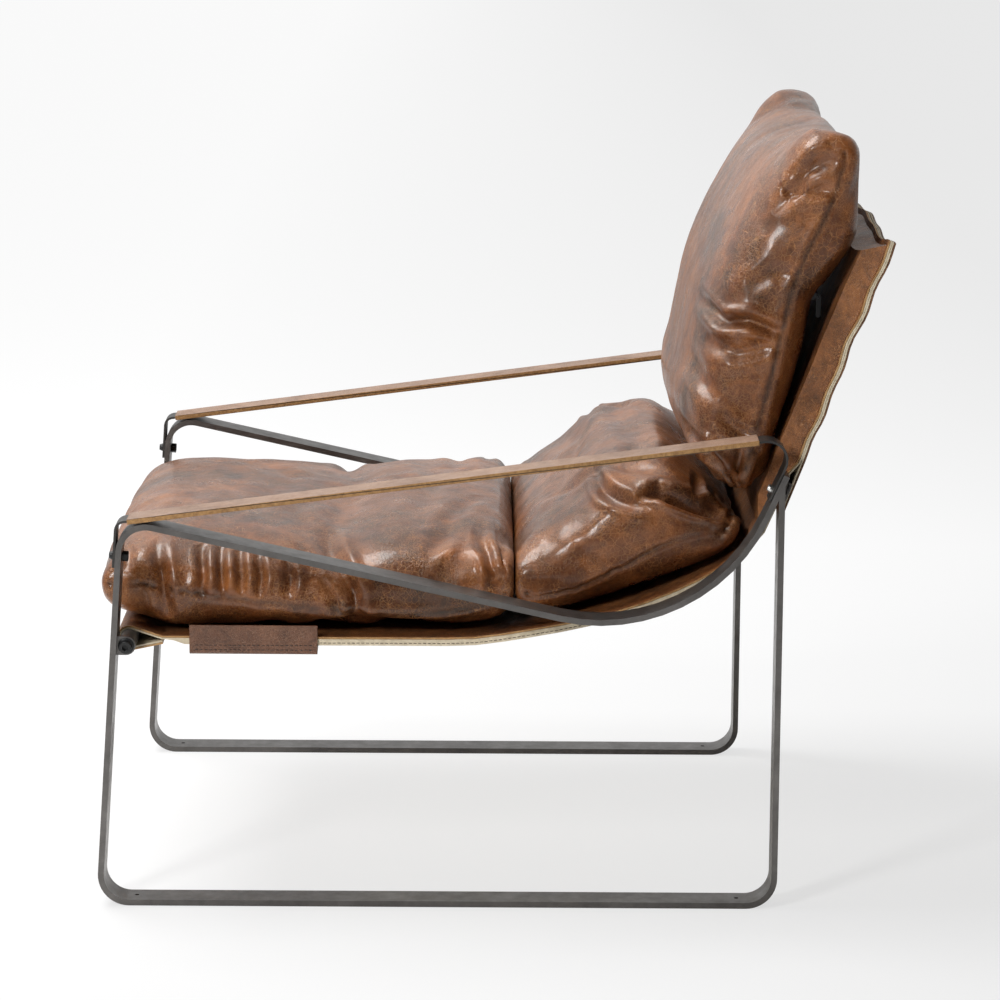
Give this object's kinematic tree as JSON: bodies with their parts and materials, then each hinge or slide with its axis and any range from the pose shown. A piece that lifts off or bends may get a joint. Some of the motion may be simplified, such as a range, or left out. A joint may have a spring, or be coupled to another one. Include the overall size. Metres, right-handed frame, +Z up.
{
  "type": "leather sling lounge chair",
  "caption": "Low lounge chair with flat bar side frames, a leather and canvas sling, strap arms and a loose leather cushion in seat, lumbar and back sections.",
  "frame": {"origin": "on the floor, under the middle of the chair", "axes": "+X to the sitter's left, -Y the way the sitter faces, +Z up"},
  "size_m": [0.6924, 0.8347, 0.8185],
  "materials": {
    "frame_steel": "dark gunmetal lacquer over flat bar, satin",
    "strap_steel": "dark satin lacquer",
    "arm_leather": "tan leather sleeve with stitched raw edges",
    "black_fixings": "black oxide",
    "bright_fixings": "bright zinc",
    "sling_canvas": "cream heavy canvas with raw edges",
    "sling_leather": "glossy waxed saddle leather",
    "cushion_leather": "distressed glossy cognac leather with pale crackle",
    "filling": "white down proof cotton round a soft filling",
    "zip_tape": "black woven zip tape",
    "zip_metal": "black enamelled zip slider"
  },
  "bodies": {
    "root": {"left_side_frame": "frame_steel", "left_arm_strap": "strap_steel", "left_arm_sleeve": "arm_leather", "left_front_hook_bolt": "black_fixings", "left_front_hook_nut": "black_fixings", "left_rail_plug": "black_fixings", "left_rail_screw": "black_fixings", "left_rail_washer": "black_fixings", "left_rear_hook_bolt": "bright_fixings", "right_side_frame": "frame_steel", "right_arm_strap": "strap_steel", "right_arm_sleeve": "arm_leather", "right_front_hook_bolt": "black_fixings", "right_front_hook_nut": "black_fixings", "right_rail_plug": "black_fixings", "right_rail_screw": "black_fixings", "right_rail_washer": "black_fixings", "right_rear_hook_bolt": "bright_fixings", "front_rail": "frame_steel", "rear_cross_bar": "frame_steel", "back_hoop": "frame_steel", "sling_canvas": "sling_canvas", "back_panel_canvas": "sling_canvas", "sling_leather": "sling_leather", "back_panel_leather": "sling_leather", "retaining_band": "sling_leather", "seat_cushion": "cushion_leather", "lumbar_cushion": "cushion_leather", "back_cushion_cover": "cushion_leather", "back_cushion_insert": "filling", "back_zip_tape": "zip_tape"},
    "zip_slider": {"zip_slider": "zip_metal"},
    "zip_pull": {"zip_pull": "zip_metal"}
  },
  "joints": [
    {"name": "zip_slide", "type": "slide", "parent": "root", "child": "zip_slider", "axis": [-1, 0, 0], "range_m": [0, 0.48]},
    {"name": "zip_pull_swing", "type": "hinge", "parent": "zip_slider", "child": "zip_pull", "pos_m": [0.243, 0.34174, 0.64296], "axis": [1, 0, 0], "range_deg": [-12, 14]}
  ]
}
